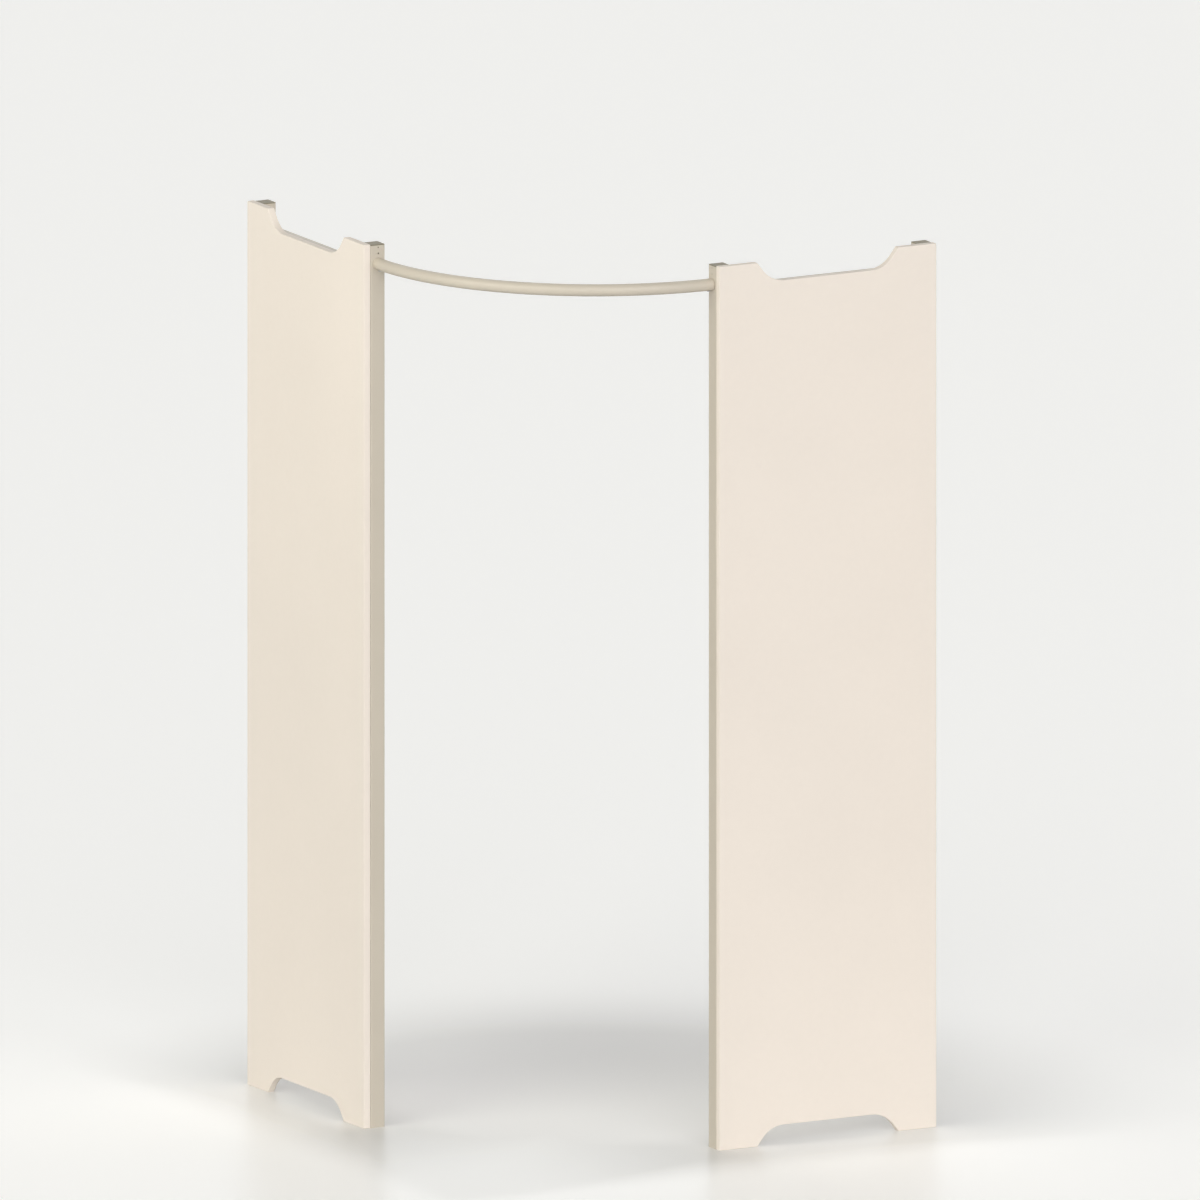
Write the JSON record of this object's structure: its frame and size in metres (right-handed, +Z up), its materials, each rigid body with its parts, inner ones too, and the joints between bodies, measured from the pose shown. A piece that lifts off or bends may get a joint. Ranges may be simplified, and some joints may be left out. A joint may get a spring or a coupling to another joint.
{
  "type": "fitting room",
  "caption": "Free-standing corner fitting room: painted boards on square-tube frames at right angles, joined at the entrance by a quarter-circle curtain rail, on levelling feet.",
  "frame": {"origin": "on the floor, at the middle of the square plan that the boards and the rail bound", "axes": "+Z up; the left board's outer face looks along -X and the right board's along -Y; the entrance is the corner towards -X and -Y, and a room's corner would be at +X and +Y"},
  "size_m": [1.24, 1.24, 2.2],
  "materials": {
    "cream_paint": "satin cream paint on fibreboard",
    "taupe_paint": "satin taupe powder coat on steel tube",
    "taupe_plastic": "matt moulded plastic",
    "black_plastic": "matt moulded plastic",
    "zinc_steel": "bright zinc plate on steel"
  },
  "bodies": {
    "room": {"left_board": "cream_paint", "left_front_post": "taupe_paint", "left_rear_post": "taupe_paint", "left_top_bar": "taupe_paint", "left_middle_bar": "taupe_paint", "left_bottom_bar": "taupe_paint", "left_front_cap": "taupe_plastic", "left_rear_cap": "taupe_plastic", "left_front_socket": "black_plastic", "left_rear_socket": "black_plastic", "left_top_board_screw_1": "zinc_steel", "left_top_board_screw_2": "zinc_steel", "left_middle_board_screw_1": "zinc_steel", "left_middle_board_screw_2": "zinc_steel", "left_bottom_board_screw_1": "zinc_steel", "left_bottom_board_screw_2": "zinc_steel", "left_rail_plug": "zinc_steel", "left_rail_bolt": "zinc_steel", "left_rail_lock_screw": "zinc_steel", "right_board": "cream_paint", "right_front_post": "taupe_paint", "right_rear_post": "taupe_paint", "right_top_bar": "taupe_paint", "right_middle_bar": "taupe_paint", "right_bottom_bar": "taupe_paint", "right_front_cap": "taupe_plastic", "right_rear_cap": "taupe_plastic", "right_front_socket": "black_plastic", "right_rear_socket": "black_plastic", "right_top_board_screw_1": "zinc_steel", "right_top_board_screw_2": "zinc_steel", "right_middle_board_screw_1": "zinc_steel", "right_middle_board_screw_2": "zinc_steel", "right_bottom_board_screw_1": "zinc_steel", "right_bottom_board_screw_2": "zinc_steel", "right_rail_plug": "zinc_steel", "right_rail_bolt": "zinc_steel", "right_rail_lock_screw": "zinc_steel", "curtain_rail": "taupe_paint"},
    "left_front_leveller": {"left_front_foot": "zinc_steel"},
    "left_rear_leveller": {"left_rear_foot": "zinc_steel"},
    "right_front_leveller": {"right_front_foot": "zinc_steel"},
    "right_rear_leveller": {"right_rear_foot": "zinc_steel"}
  },
  "joints": [
    {"name": "left_front_foot_out", "type": "slide", "parent": "room", "child": "left_front_leveller", "axis": [0, 0, -1], "range_m": [0, 0.012]},
    {"name": "left_rear_foot_out", "type": "slide", "parent": "room", "child": "left_rear_leveller", "axis": [0, 0, -1], "range_m": [0, 0.012]},
    {"name": "right_front_foot_out", "type": "slide", "parent": "room", "child": "right_front_leveller", "axis": [0, 0, -1], "range_m": [0, 0.012]},
    {"name": "right_rear_foot_out", "type": "slide", "parent": "room", "child": "right_rear_leveller", "axis": [0, 0, -1], "range_m": [0, 0.012]}
  ]
}
